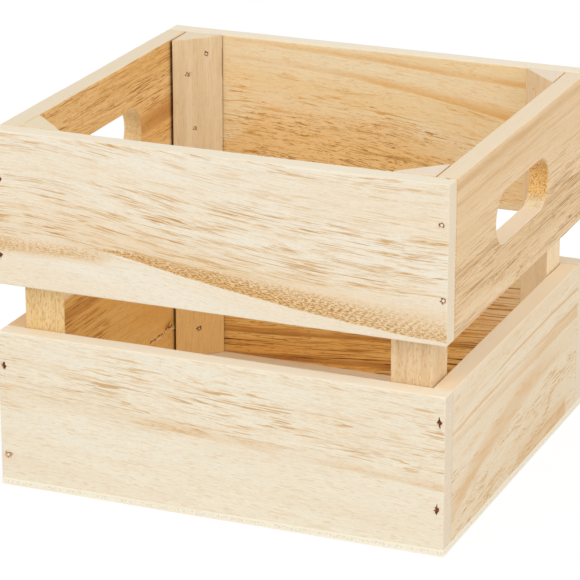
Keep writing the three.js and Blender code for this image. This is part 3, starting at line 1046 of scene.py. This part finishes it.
@dataclass(frozen=True)
class Pit:
    """A torn pit round a nail's head, a raised sliver, or a dent in an edge.

    Attributes:
        centre: Its middle on the surface.
        inwards: The direction that it goes into the wood.
        radius: How wide it is, in metres.
        depth: How deep it is, in metres, or how high if it is less than 0.
        ragged: How uneven its rim is, from 0 to 1.
        stain_and_shade: How dark the wood in it is, from 0 to 1, partly real stain and partly painted shade
            in the hollow, or how bare if it is less than 0.
        seed: Which part of the noise shapes it.
        run: The direction that it is drawn out along.
        stretch: How far it is drawn out.
    """

    centre: Vector
    inwards: Vector
    radius: float
    depth: float
    ragged: float
    stain_and_shade: float
    seed: float
    run: Vector = Vector((0, 0, 1))
    stretch: float = 1.0

    CELL = 4.5 * MM
    NEAR = 2.0
    REACH = 2.4
    LOBES = 1.7
    LIP = 0.3
    ROUGH = 0.3
    ROUGH_SIZE = 0.5 * MM

    def near(self, point: Vector) -> bool:
        """Whether a point is close enough to need fine faces."""
        away = self._flat(point - self.centre).length
        return away < self.NEAR * self.radius + self.CELL * 0.75 / self.stretch

    def _flat(self, out: Vector) -> Vector:
        """A way from the centre, along the surface, with the stretch taken off."""
        flat = out - self.inwards * out.dot(self.inwards)
        return flat - self.run * (flat.dot(self.run) * (1 - 1 / self.stretch))

    def press(self, vertex: bmesh.types.BMVert, stain_and_shade: bmesh.types.BMLayerItem) -> None:
        """Presses one vertex in and darkens it with stain and painted shade.

        Args:
            vertex: The vertex.
            stain_and_shade: The mesh's layer of stain and painted shade.
        """
        out = vertex.co - self.centre
        flat = self._flat(out)
        height = abs(out.dot(self.inwards))
        if height > self.NEAR * self.radius + MM or flat.length > self.REACH * self.radius:
            return
        ray = flat.normalized() * self.LOBES + Vector((self.seed, self.seed * 0.7, 0.0))
        reach = self.radius * (1.0 + self.ragged * noise.noise(ray))
        share = min(max((reach - flat.length) / (self.LIP * self.radius) + 0.5, 0.0), 1.0)
        share = share * share * (3 - 2 * share)
        rough = 1.0 + self.ROUGH * noise.noise(vertex.co / self.ROUGH_SIZE)
        vertex.co += self.inwards * (self.depth * share * rough)
        shown = self.stain_and_shade * share
        if self.depth > 0 and self.stretch == 1.0:
            patch = noise.noise(ray * 1.5 + Vector((3.1, 8.7, self.seed)))
            shown *= min(max(0.65 + 1.3 * patch, 0.1), 1.0)
        if abs(shown) > abs(vertex[stain_and_shade]):
            vertex[stain_and_shade] = shown


@dataclass
class Wood:
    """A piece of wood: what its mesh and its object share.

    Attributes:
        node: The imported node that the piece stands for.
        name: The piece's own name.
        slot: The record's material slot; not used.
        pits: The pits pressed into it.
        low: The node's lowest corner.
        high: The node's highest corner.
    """

    node: str
    name: str
    slot: Slot
    pits: list[Pit] = field(default_factory=list)
    low: Vector = field(init=False)
    high: Vector = field(init=False)

    STEP = 4.5 * MM
    PIT_CUTS = 17
    WAVER = 0.10 * MM
    SLOW = 30 * MM
    QUICK = 7 * MM

    def __post_init__(self) -> None:
        """Reads the node's box from the frame."""
        self.low, self.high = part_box(self.node)

    def block(self) -> Mesh:
        """Makes a plain block that fills the node's box.

        Returns:
            The block's mesh.
        """
        bm = bmesh.new()
        middle = (self.low + self.high) / 2
        size = self.high - self.low
        bmesh.ops.create_cube(bm, size=1, matrix=Matrix.Translation(middle) @ Matrix.Diagonal((*size, 1)))
        return bm

    @staticmethod
    def ease(bm: Mesh, edges: list[bmesh.types.BMEdge], offset: float, segments: int = 3) -> None:
        """Rounds edges.

        Args:
            bm: The mesh.
            edges: The edges to round.
            offset: How far from an edge its rounding begins.
            segments: How many faces the rounding has.
        """
        bmesh.ops.bevel(bm, geom=edges, offset=offset, offset_type="OFFSET", segments=segments,
                        profile=0.5, affect="EDGES", material=-1)

    def slice_evenly(self, bm: Mesh) -> None:
        """Cuts the mesh into small faces, so that it can be worn.

        Args:
            bm: The mesh.
        """
        for axis in range(3):
            normal = Vector((axis == 0, axis == 1, axis == 2))
            span = self.high[axis] - self.low[axis]
            count = max(2, round(span / self.STEP))
            for i in range(1, count):
                point = self.low + normal * (span * i / count)
                everything = bm.verts[:] + bm.edges[:] + bm.faces[:]
                bmesh.ops.bisect_plane(bm, geom=everything, dist=1e-7, plane_co=point, plane_no=normal)

    def wear(self, bm: Mesh) -> None:
        """Slices the mesh, makes its faces and edges waver a little, and presses the pits in.

        Args:
            bm: The mesh.
        """
        self.slice_evenly(bm)
        # Per-vertex darkening: real stain round the pits, and painted shade in their hollows and along open
        # joints.
        stain_and_shade = bm.verts.layers.float.new("stain_and_shade")
        faces = [f for f in bm.faces if any(pit.near(f.calc_center_median()) for pit in self.pits)]
        edges = list(dict.fromkeys(e for f in faces for e in f.edges))
        bmesh.ops.subdivide_edges(bm, edges=edges, cuts=self.PIT_CUTS, use_grid_fill=True)
        for vertex in bm.verts:
            slow = noise.noise_vector(vertex.co / self.SLOW)
            quick = noise.noise_vector(vertex.co / self.QUICK)
            vertex.co += (slow + quick * 0.5) * self.WAVER
        for pit in self.pits:
            for vertex in bm.verts:
                pit.press(vertex, stain_and_shade)

    def finish(self, bm: Mesh, material: Material) -> Piece:
        """Turns the mesh into a piece with even shading.

        Args:
            bm: The finished mesh.
            material: Its material.

        Returns:
            The new object.
        """
        bmesh.ops.recalc_face_normals(bm, faces=bm.faces[:])
        piece = add_piece(self.name, bm, material, self.node)
        normals = piece.modifiers.new("even_normals", "WEIGHTED_NORMAL")
        normals.keep_sharp = True
        return piece


@dataclass
class Board(Wood):
    """One board of the crate.

    Attributes:
        grain: The axis that the board runs along.
        finish_of: The board's own grain and colours.
        hand_slot: Whether it has a hand slot.
    """

    grain: Grain = Grain.X
    finish_of: BoardFinish = CREAM_UPPER
    hand_slot: bool = False

    EASE = 0.7 * MM
    FOOT = 0.1 * MM
    SLOT_LENGTH = 68 * MM
    SLOT_HEIGHT = 23 * MM
    SLOT_SEGMENTS = 40
    CUTTER_DEPTH = 0.1
    RIM_ANGLE = 1.0

    def build(self) -> Piece:
        """Makes the board.

        Returns:
            The board's object.
        """
        bm = self.block()
        rests = self.low.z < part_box("base_panel")[1].z + MM
        foot = self.low.z + self.FOOT if rests else 0.0
        self.ease(bm, [e for e in bm.edges if max(v.co.z for v in e.verts) > foot], self.EASE)
        if self.hand_slot:
            bm = self.cut_slot(bm)
        self.wear(bm)
        return self.finish(bm, self.finish_of.dress(self.name, self.grain, self.low, self.high))

    def cut_slot(self, bm: Mesh) -> Mesh:
        """Cuts the hand slot and rounds its edges.

        Args:
            bm: The board's mesh.

        Returns:
            The mesh with the slot.
        """
        middle = (self.low + self.high) / 2
        radius = self.SLOT_HEIGHT / 2
        reach = self.SLOT_LENGTH / 2 - radius
        cutter = bmesh.new()
        bmesh.ops.create_circle(cutter, cap_ends=True, segments=self.SLOT_SEGMENTS, radius=radius)
        for vertex in cutter.verts:
            vertex.co.x += math.copysign(reach, vertex.co.x) if abs(vertex.co.x) > 1e-9 else 0.0
        extrude(cutter, cutter.faces[:], self.CUTTER_DEPTH)
        bmesh.ops.translate(cutter, verts=cutter.verts[:], vec=(0, 0, -self.CUTTER_DEPTH / 2))
        turn = Matrix.Rotation(math.pi / 2, 4, "Z") @ Matrix.Rotation(math.pi / 2, 4, "X")
        bmesh.ops.transform(cutter, matrix=Matrix.Translation(middle) @ turn, verts=cutter.verts[:])
        bmesh.ops.recalc_face_normals(cutter, faces=cutter.faces[:])
        cut = self.subtract(bm, cutter)
        half = (self.high.x - self.low.x) / 2
        rims = [
            e for e in cut.edges
            if e.is_manifold and e.calc_face_angle() > self.RIM_ANGLE
            and all(abs(abs(v.co.x - middle.x) - half) < 1e-6 for v in e.verts)
            and all(abs(v.co.y - middle.y) < reach + radius + MM for v in e.verts)
            and all(abs(v.co.z - middle.z) < radius + MM for v in e.verts)
        ]
        self.ease(cut, rims, self.EASE)
        return cut

    @staticmethod
    def subtract(bm: Mesh, cutter: Mesh) -> Mesh:
        """Cuts one mesh out of another.

        Args:
            bm: The mesh to cut.
            cutter: What is cut out of it.

        Returns:
            A new mesh.
        """
        objects = []
        for source in (bm, cutter):
            mesh = bpy.data.meshes.new("carving")
            source.to_mesh(mesh)
            source.free()
            made = bpy.data.objects.new("carving", mesh)
            bpy.context.scene.collection.objects.link(made)
            objects.append(made)
        cut = objects[0].modifiers.new("cut", "BOOLEAN")
        cut.object = objects[1]
        cut.operation = "DIFFERENCE"
        cut.solver = "EXACT"
        graph = bpy.context.evaluated_depsgraph_get()
        result = bmesh.new()
        result.from_mesh(objects[0].evaluated_get(graph).to_mesh())
        for made in objects:
            bpy.data.meshes.remove(made.data)
        return result


@dataclass
class Post(Wood):
    """A corner post, three-cornered in section.

    Attributes:
        side_x: Which side of the crate it stands on, -1 or 1.
        side_y: Whether it stands at the front, -1, or the back, 1.
        finish_of: Its wood.
        snug: How much closer it stands to the short boards than its node, in metres.
    """

    side_x: int = -1
    side_y: int = -1
    finish_of: PostFinish = TAN_POST
    snug: float = 0.0

    EASE = 0.45 * MM
    ACUTE_EASE = 1.0 * MM
    SHARP = math.radians(60)
    ACUTE = math.radians(100)
    JOINT_DEPTH = 6.0 * MM
    BESIDE = 0.3 * MM
    OPEN_JOINT = 1.0
    TIGHT_JOINT = 0.9

    def build(self) -> Piece:
        """Makes the post.

        Returns:
            The post's object.
        """
        corner = Vector((self.high.x if self.side_x > 0 else self.low.x,
                         self.high.y if self.side_y > 0 else self.low.y, self.low.z))
        corner.x += self.side_x * self.snug
        leg_x = Vector((-self.side_x * (self.high.x - self.low.x + self.snug), 0, 0))
        leg_y = Vector((0, -self.side_y * (self.high.y - self.low.y), 0))
        bm = bmesh.new()
        foot = [bm.verts.new(corner + out) for out in (Vector(), leg_x, leg_y)]
        extrude(bm, [bm.faces.new(foot)], self.high.z - self.low.z)
        bmesh.ops.recalc_face_normals(bm, faces=bm.faces[:])
        self.ease(bm, [e for e in bm.edges if e.calc_face_angle() > self.ACUTE], self.ACUTE_EASE)
        self.ease(bm, [e for e in bm.edges if e.calc_face_angle() > self.SHARP], self.EASE)
        self.wear(bm)
        # The back left post stands off its boards, and its open joint gets a painted shadow line.
        if self.snug < 0:
            self.paint_joint_shade(bm, corner, corner + leg_x + leg_y)
        return self.finish(bm, self.finish_of.dress(self.name))

    def paint_joint_shade(self, bm: Mesh, corner: Vector, edge: Vector) -> None:
        """Paints shade on the edges beside the boards: a dark line along the open joint, standing for the
        shadow in the gap.

        Args:
            bm: The post's mesh.
            corner: A point of both sides that face boards.
            edge: How far those sides reach, as a point opposite the corner.
        """
        stain_and_shade = bm.verts.layers.float["stain_and_shade"]
        gap_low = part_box("left_lower_board")[1].z - MM
        gap_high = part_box("left_upper_board")[0].z + MM
        for vertex in bm.verts:
            if gap_low < vertex.co.z < gap_high:
                continue
            near = vertex.co - corner
            far = vertex.co - edge
            if abs(near.y) < self.BESIDE and abs(far.x) < self.JOINT_DEPTH:
                vertex[stain_and_shade] = self.TIGHT_JOINT
            if abs(near.x) < self.BESIDE and abs(far.y) < self.JOINT_DEPTH:
                vertex[stain_and_shade] = self.OPEN_JOINT


@dataclass
class Base(Wood):
    """The plywood base."""

    EASE = 0.2 * MM
    LIFT = 0.26 * MM

    def build(self) -> Piece:
        """Makes the base, up to just under the boards.

        Returns:
            The base's object.
        """
        self.high.z += self.LIFT
        bm = self.block()
        self.ease(bm, bm.edges[:], self.EASE, 2)
        self.wear(bm)
        return self.finish(bm, PlywoodFinish().dress(self.name, self.high.z - self.low.z))


@dataclass
class Nail:
    """A nail or brad, driven in until its head lies in a torn pit.

    Attributes:
        node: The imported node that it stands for.
        inwards: The direction that it was driven in.
        surface: Any point of the wood's surface round its head.
        head: The radius of its head.
        finish_of: Its steel.
        tear: How deep, ragged and drawn out the pit round it is.
    """

    node: str
    inwards: Vector
    surface: Vector
    head: float
    finish_of: SteelFinish
    tear: Tear

    SIDES = 20
    SUNK = 0.28 * MM
    DOME = ((0.0, 0.0), (0.35, 0.03), (0.62, 0.12), (0.84, 0.27), (0.96, 0.45), (1.0, 0.6), (1.0, 0.85))
    SHANK = 0.55
    NECK = 0.2 * MM
    POINT = 1.2 * MM
    EDGE_DARK_RISE = 2.2
    EDGE_DARK_FROM = 1.0
    CRACK_WIDTH = 0.5
    CRACK_DEPTH = 0.2 * MM
    CRACK_RAGGED = 0.8

    def place(self) -> tuple[Vector, float]:
        """Finds the nail from its node's box.

        Returns:
            The point of the surface over its head, and its length from there.
        """
        low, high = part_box(self.node)
        middle = (low + high) / 2
        inside = (middle - self.surface).dot(self.inwards)
        return middle - self.inwards * inside, 2 * inside

    def pit(self, seed: float) -> list[Pit]:
        """The pit that the wood has round the nail.

        Args:
            seed: Which part of the noise shapes it.

        Returns:
            The pit, and the crack through it if there is one.
        """
        top, _ = self.place()
        t = self.tear
        made = [Pit(top, self.inwards, radius=t.reach * self.head, depth=t.depth, ragged=t.ragged,
                    stain_and_shade=t.stain_and_shade, seed=seed)]
        if t.crack:
            made.append(Pit(top, self.inwards, radius=self.CRACK_WIDTH * self.head, depth=self.CRACK_DEPTH,
                            ragged=self.CRACK_RAGGED, stain_and_shade=t.stain_and_shade, seed=seed + 3, run=Vector((0, 0, 1)),
                            stretch=t.crack))
        return made

    def build(self) -> Piece:
        """Makes the nail.

        Returns:
            The nail's object.
        """
        top, length = self.place()
        bm = bmesh.new()
        edge_dirt_and_shade = bm.verts.layers.float.new("stain_and_shade")
        profile = [(r * self.head, self.SUNK + d * self.head) for r, d in self.DOME]
        profile += [(self.SHANK * self.head, profile[-1][1] + self.NECK),
                    (self.SHANK * self.head, length - self.POINT), (0.0, length)]
        line = [bm.verts.new((radius, 0, -depth)) for radius, depth in profile]
        # The head's outer rim darkens, partly dirt and partly painted shade where it meets the pit.
        for vertex in line:
            vertex[edge_dirt_and_shade] = min(max(self.EDGE_DARK_RISE * vertex.co.x / self.head - self.EDGE_DARK_FROM, 0.0), 1.0)
        edges = [bm.edges.new(pair) for pair in zip(line, line[1:])]
        bmesh.ops.spin(bm, geom=line + edges, cent=(0, 0, 0), axis=(0, 0, 1), angle=2 * math.pi,
                       steps=self.SIDES, use_merge=True)
        bmesh.ops.remove_doubles(bm, verts=bm.verts[:], dist=1e-6)
        bmesh.ops.recalc_face_normals(bm, faces=bm.faces[:])
        turn = (-self.inwards).to_track_quat("Z", "Y").to_matrix().to_4x4()
        bmesh.ops.transform(bm, matrix=Matrix.Translation(top) @ turn, verts=bm.verts[:])
        return add_piece(f"set_{self.node}", bm, self.finish_of.material(), self.node)


@dataclass
class Splinters:
    """Loose slivers of wood that stand out of a torn or sawn place.

    Attributes:
        name: The piece's name.
        start: One end of the line that the slivers stand on.
        end: Its other end.
        bulge: How far the line's middle is pushed out, to follow a curved wall.
        outwards: The way that they stand out of the wood.
        lie: The way that they lie along the wood.
        length: The longest sliver.
        spread: How far they stray from the line.
        count: How many there are.
        finish_of: Their wood.
        seed: Which part of the noise places them.
    """

    name: str
    start: Vector
    end: Vector
    bulge: Vector
    outwards: Vector
    lie: Vector
    length: float
    spread: float
    count: int
    finish_of: PostFinish
    seed: float

    SIDES = 5
    THICKNESS = 0.3 * MM
    TIP = 0.25

    def build(self) -> Piece:
        """Makes the slivers as one piece.

        Returns:
            Their object.
        """
        bm = bmesh.new()
        for i in range(self.count):
            share = (i + 0.5) / self.count
            stray = noise.noise_vector(Vector((self.seed + 1.7 * i, 0.31, 0.77 * i)))
            size = 0.55 + 0.9 * abs(noise.noise(Vector((0.9 * i, self.seed, 0.4))))
            foot = self.start.lerp(self.end, share) + self.bulge * (4 * share * (1 - share))
            foot += stray * self.spread
            way = (self.lie + self.outwards * (0.5 + stray.x) + stray * 0.8).normalized()
            length = self.length * size
            turn = way.to_track_quat("Z", "Y").to_matrix().to_4x4()
            matrix = Matrix.Translation(foot + way * (length / 2)) @ turn
            bmesh.ops.create_cone(bm, cap_ends=True, segments=self.SIDES, radius1=self.THICKNESS * size,
                                  radius2=self.THICKNESS * size * self.TIP, depth=length, matrix=matrix)
        return add_piece(self.name, bm, self.finish_of.dress(self.name))


@dataclass(frozen=True)
class Studio:
    """The floor, the light and the camera.

    Attributes:
        camera_at: Where the camera stands.
        camera_towards: The direction that it looks in.
        lens: Its focal length on a 36 mm sensor.
    """

    camera_at: tuple[float, float, float] = (0.48415, -1.18074, 0.52229)
    camera_towards: tuple[float, float, float] = (-0.36092, 0.87099, -0.33333)
    lens: float = 193.73

    SENSOR = 36.0
    FLOOR_SIZE = 6.0
    SKY_LIGHT = 0.72
    KEY_POWER = 20.0
    FILL_POWER = 18.0
    LAMP_SIZE = 1.6
    KEY_AT = Vector((-0.6, -2.2, 1.7))
    FILL_AT = Vector((2.2, -0.5, 1.5))
    FLOOR_GLOW = 1.06
    FLOOR_SHARE = 0.84
    AIM = Vector((0, 0, 0.08))

    def build(self) -> None:
        """Sets up the whole studio."""
        self.add_camera()
        self.add_floor()
        self.add_sky()
        self.add_lamp("key_softbox", self.KEY_AT, self.KEY_POWER)
        self.add_lamp("fill_softbox", self.FILL_AT, self.FILL_POWER)
        bpy.context.scene.view_settings.view_transform = "Standard"

    def add_camera(self) -> None:
        """Adds the camera at the photograph's viewing angle."""
        data = bpy.data.cameras.new("camera")
        data.lens = self.lens
        data.sensor_width = self.SENSOR
        camera = bpy.data.objects.new("camera", data)
        camera.location = self.camera_at
        camera.rotation_euler = Vector(self.camera_towards).to_track_quat("-Z", "Y").to_euler()
        bpy.context.scene.collection.objects.link(camera)
        bpy.context.scene.camera = camera

    def add_floor(self) -> None:
        """Adds the pale floor, white to the camera but still shaded by the crate."""
        bm = bmesh.new()
        bmesh.ops.create_grid(bm, x_segments=8, y_segments=8, size=self.FLOOR_SIZE / 2)
        mesh = bpy.data.meshes.new("floor")
        bm.to_mesh(mesh)
        bm.free()
        floor = bpy.data.objects.new("floor", mesh)
        bpy.context.scene.collection.objects.link(floor)
        g = Graph("floor_white")
        g.shader.inputs["Base Color"].default_value = (0.8, 0.8, 0.8, 1)
        g.shader.inputs["Roughness"].default_value = 0.9
        glow = g.node("ShaderNodeEmission")
        glow.inputs["Strength"].default_value = self.FLOOR_GLOW
        blend = g.node("ShaderNodeMixShader")
        seen = g.node("ShaderNodeLightPath").outputs["Is Camera Ray"]
        g.feed(blend.inputs[0], g.math("MULTIPLY", seen, self.FLOOR_SHARE))
        g.feed(blend.inputs[1], g.shader.outputs[0])
        g.feed(blend.inputs[2], glow.outputs[0])
        g.feed(g.surface, blend.outputs[0])
        mesh.materials.append(g.material)

    def add_sky(self) -> None:
        """Lights the crate evenly from all round, with white behind it."""
        world = bpy.data.worlds.new("studio")
        bpy.context.scene.world = world
        world.use_nodes = True
        tree = world.node_tree
        background = next(n for n in tree.nodes if n.type == "BACKGROUND")
        background.inputs["Color"].default_value = (1, 1, 1, 1)
        path = tree.nodes.new("ShaderNodeLightPath")
        seen = tree.nodes.new("ShaderNodeMath")
        seen.operation = "MAXIMUM"
        tree.links.new(path.outputs["Is Camera Ray"], seen.inputs[0])
        tree.links.new(path.outputs["Is Glossy Ray"], seen.inputs[1])
        strength = tree.nodes.new("ShaderNodeMapRange")
        strength.inputs["To Min"].default_value = self.SKY_LIGHT
        strength.inputs["To Max"].default_value = 1.0
        tree.links.new(seen.outputs[0], strength.inputs["Value"])
        tree.links.new(strength.outputs[0], background.inputs["Strength"])

    def add_lamp(self, name: str, place: Vector, power: float) -> None:
        """Adds a softbox that faces the crate.

        Args:
            name: The lamp's name.
            place: Where it stands.
            power: Its power.
        """
        data = bpy.data.lights.new(name, "AREA")
        data.size = self.LAMP_SIZE
        data.energy = power
        lamp = bpy.data.objects.new(name, data)
        lamp.location = place
        lamp.rotation_euler = (self.AIM - place).to_track_quat("-Z", "Y").to_euler()
        bpy.context.scene.collection.objects.link(lamp)


def named(start: str) -> list[str]:
    """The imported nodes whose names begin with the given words, in order."""
    return sorted(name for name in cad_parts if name.startswith(start))


def board_nails(board: str) -> list[Nail]:
    """The nails that hold a long board's ends.

    Args:
        board: The board's node.

    Returns:
        Its nails.
    """
    wall, ring, _ = board.split("_")
    low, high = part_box(board)
    inwards = Vector((0, 1, 0)) if wall == "front" else Vector((0, -1, 0))
    surface = low if wall == "front" else high
    nails = []
    for node in named(f"nail_{wall}_{ring}_"):
        rusty = ring == "lower" or "left" in node
        steel, tear = (RUSTED_STEEL, RUSTY_TEAR) if rusty else (PALE_GLINT_STEEL, CLEAN_TEAR)
        if node.endswith("lower_left_low"):
            steel, tear = PALE_GLINT_STEEL, FAINT_TEAR
        nails.append(Nail(node, inwards, surface, NAIL_HEAD, steel, tear))
    return nails


def post_brads(post: str, x: int, y: int) -> list[Nail]:
    """The brads that hold a corner post.

    Args:
        post: The post's node.
        x: Which side of the crate it stands on, -1 or 1.
        y: Whether it stands at the front, -1, or the back, 1.

    Returns:
        Its brads.
    """
    low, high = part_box(post)
    surface = Vector((high.x if x > 0 else low.x, low.y if y > 0 else high.y, low.z))
    inwards = Vector((x, y, 0)).normalized()
    filled = x > 0 and y > 0
    steel, tear = (FILLED_STEEL, FILLED_TEAR) if filled else (PALE_GLINT_STEEL, BRAD_TEAR)
    brads = []
    for node in named(f"brad_{post}_"):
        rusted = node == "brad_back_left_post_4"
        brads.append(Nail(node, inwards, surface, BRAD_HEAD, RUSTED_STEEL if rusted else steel, tear))
    return brads


def base_brads() -> list[Nail]:
    """The brads that hold the base from below.

    Returns:
        The brads.
    """
    low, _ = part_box("base_panel")
    up = Vector((0, 0, 1))
    return [Nail(node, up, low, BRAD_HEAD, PALE_GLINT_STEEL, BRAD_TEAR) for node in named("brad_base_")]


def drive(nails: list[Nail]) -> list[Pit]:
    """Builds the nails of one piece of wood.

    Args:
        nails: The nails.

    Returns:
        The pits that they leave in the wood, each of its own shape.
    """
    pits = []
    for i, nail in enumerate(nails):
        nail.build()
        pits += nail.pit(4.1 * i + 1.3)
    return pits


def torn_streak() -> list[Pit]:
    """The streak that a saw tore out of the left lower board, and the slivers left in it.

    Returns:
        The streak's pits.
    """
    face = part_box("left_lower_board")[1].x
    height = 19.9 * MM
    first = Vector((face, 40 * MM, height))
    last = Vector((face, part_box("back_left_post")[0].y, height))
    drop = Vector((0, 0, 0.8 * MM))
    Splinters("torn_slivers", start=first - drop, end=last - drop, bulge=Vector(),
              outwards=Vector((1, 0, 0)), lie=Vector((0, 1, 0.1)), length=3.4 * MM, spread=0.5 * MM,
              count=22, finish_of=TORN_SLIVER, seed=5.0).build()
    along, into = Vector((0, 1, 0)), Vector((-1, 0, 0))
    pits = []
    count = 6
    for i in range(count):
        stray = noise.noise(Vector((1.3 * i, 0.4, 0.2)))
        centre = first.lerp(last, (i + 0.4) / count) + Vector((0, 0, 1.2 * MM * stray))
        pits.append(Pit(centre, into, radius=0.5 * MM, depth=0.45 * MM, ragged=0.9, stain_and_shade=0.6, seed=2.7 * i,
                        run=along, stretch=5.0))
    return pits


def rim_nick() -> Pit:
    """The small dark nick where the front upper board's rim meets the right board.

    Returns:
        The nick.
    """
    _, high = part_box("front_upper_board")
    place = Vector((high.x - 3.4 * MM, high.y - 0.8 * MM, high.z))
    return Pit(place, Vector((0, 0, -1)), radius=0.5 * MM, depth=0.06 * MM, ragged=0.6, stain_and_shade=0.8, seed=2.0,
               run=Vector((1, 0, 0)), stretch=1.6)


def slot_fibres(board: str, side: int) -> None:
    """Builds the fibres that a saw left at the back end of a hand slot.

    Args:
        board: The slotted board's node.
        side: Which side of the crate it is on, -1 or 1.
    """
    low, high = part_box(board)
    middle = (low + high) / 2
    radius = Board.SLOT_HEIGHT / 2
    reach = Board.SLOT_LENGTH / 2 - radius
    rows = 5
    for i in range(rows):
        across = low.x + (high.x - low.x) * (i + 0.7) / (rows + 0.4)
        start = Vector((across, middle.y + reach + 0.3 * radius, middle.z - 0.94 * radius))
        end = Vector((across, middle.y + reach + 0.8 * radius, middle.z - 0.6 * radius))
        bulge = Vector((0, 0.04 * radius, -0.04 * radius))
        Splinters(f"{board}_slot_fibres_{i + 1}", start=start, end=end, bulge=bulge,
                  outwards=Vector((0, -1, 0.5)), lie=Vector((side * 0.6, -0.3, 0.3)), length=1.5 * MM,
                  spread=0.7 * MM, count=16, finish_of=PALE_SLIVER, seed=9.0 + 3 * i).build()


def main() -> None:
    """Builds the crate's finish."""
    logging.basicConfig(level=logging.INFO, format="%(name)s: %(message)s")
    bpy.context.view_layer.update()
    noise.seed_set(NOISE_SEED)
    Studio().build()

    finishes = {
        "front_upper_board": (Grain.X, CREAM_UPPER),
        "front_lower_board": (Grain.X, CREAM_LOWER),
        "back_upper_board": (Grain.X, HONEY_UPPER),
        "back_lower_board": (Grain.X, HONEY_LOWER),
        "right_upper_board": (Grain.Y, TAN_UPPER),
        "right_lower_board": (Grain.Y, CREAM_SIDE),
        "left_upper_board": (Grain.Y, AMBER_UPPER),
        "left_lower_board": (Grain.Y, AMBER_LOWER),
    }
    for node, (grain, finish) in finishes.items():
        slotted = grain is Grain.Y and "upper" in node
        pits = drive(board_nails(node)) if grain is Grain.X else []
        if node == "left_lower_board":
            pits = torn_streak()
        if node == "front_upper_board":
            pits.append(rim_nick())
        Board(node, f"worn_{node}", Slot.BOARD, pits, grain, finish, slotted).build()
    slot_fibres("left_upper_board", -1)
    slot_fibres("right_upper_board", 1)
    posts = {
        "front_left_post": (YELLOW_POST, 0.33 * MM),
        "front_right_post": (TAN_POST, 0.0),
        "back_left_post": (BROWN_POST, -0.7 * MM),
        "back_right_post": (BEIGE_POST, 0.0),
    }
    for x, x_name in ((-1, "left"), (1, "right")):
        for y, y_name in ((-1, "front"), (1, "back")):
            node = f"{y_name}_{x_name}_post"
            pits = drive(post_brads(node, x, y))
            Post(node, f"worn_{node}", Slot.POST, pits, x, y, *posts[node]).build()
    Base("base_panel", "worn_base_panel", Slot.BASE, drive(base_brads())).build()


if __name__ == "__main__":
    main()
